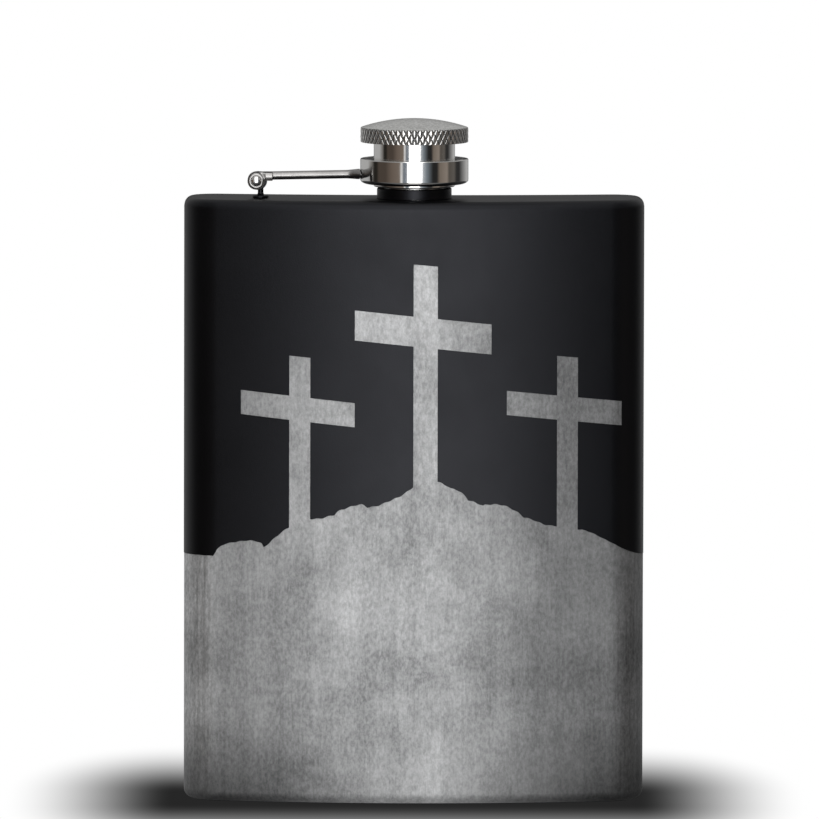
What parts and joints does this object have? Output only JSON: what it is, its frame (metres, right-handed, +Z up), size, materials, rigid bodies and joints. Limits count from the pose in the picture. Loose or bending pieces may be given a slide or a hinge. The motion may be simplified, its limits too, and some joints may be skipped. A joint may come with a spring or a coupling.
{
  "type": "hip flask",
  "caption": "Curved pocket flask of coated steel with a knurled screw cap held captive in a collar on a hinged arm.",
  "frame": {"origin": "centre of the bounding box's footprint, on the surface the flask stands on", "axes": "+Z up towards the cap, X across the width with the hinge at -X, -Y out of the convex front, +Y out of the concave back"},
  "size_m": [0.095, 0.0262, 0.141],
  "materials": {
    "black_coat": "matte powder coat with a fine grain",
    "body_steel": "bare steel brushed up and down, slightly cloudy",
    "polished_steel": "mirror polished steel",
    "satin_steel": "satin steel with a diamond knurl on the rim",
    "plain_steel": "turned steel",
    "seal_rubber": "soft food-grade silicone"
  },
  "bodies": {
    "flask": {"body_shell": "body_steel", "top_plate": "black_coat", "bottom_plate": "body_steel", "neck": "black_coat", "hinge_post": "black_coat", "hinge_pin": "polished_steel"},
    "arm": {"cap_arm": "polished_steel", "captive_collar": "polished_steel", "retaining_ring": "polished_steel"},
    "seal": {"cap_seal": "seal_rubber"},
    "cap": {"cap_sleeve": "polished_steel", "thread_insert": "plain_steel", "cap_head": "satin_steel"}
  },
  "joints": [
    {"name": "arm_swing", "type": "hinge", "parent": "flask", "child": "arm", "pos_m": [-0.0326, -0.00165, 0.1281], "axis": [0, -1, 0], "range_deg": [0, 180]},
    {"name": "cap_rise", "type": "slide", "parent": "arm", "child": "seal", "axis": [0, 0, 1], "range_m": [0, 0.00376]},
    {"name": "cap_turn", "type": "hinge", "parent": "seal", "child": "cap", "pos_m": [0, -0.00165, 0.1245], "axis": [0, 0, 1], "range_deg": [0, 900]}
  ],
  "couplings": [
    {"joint": "cap_rise", "follows": "cap_turn", "m_per_rad": 0.00023873}
  ]
}
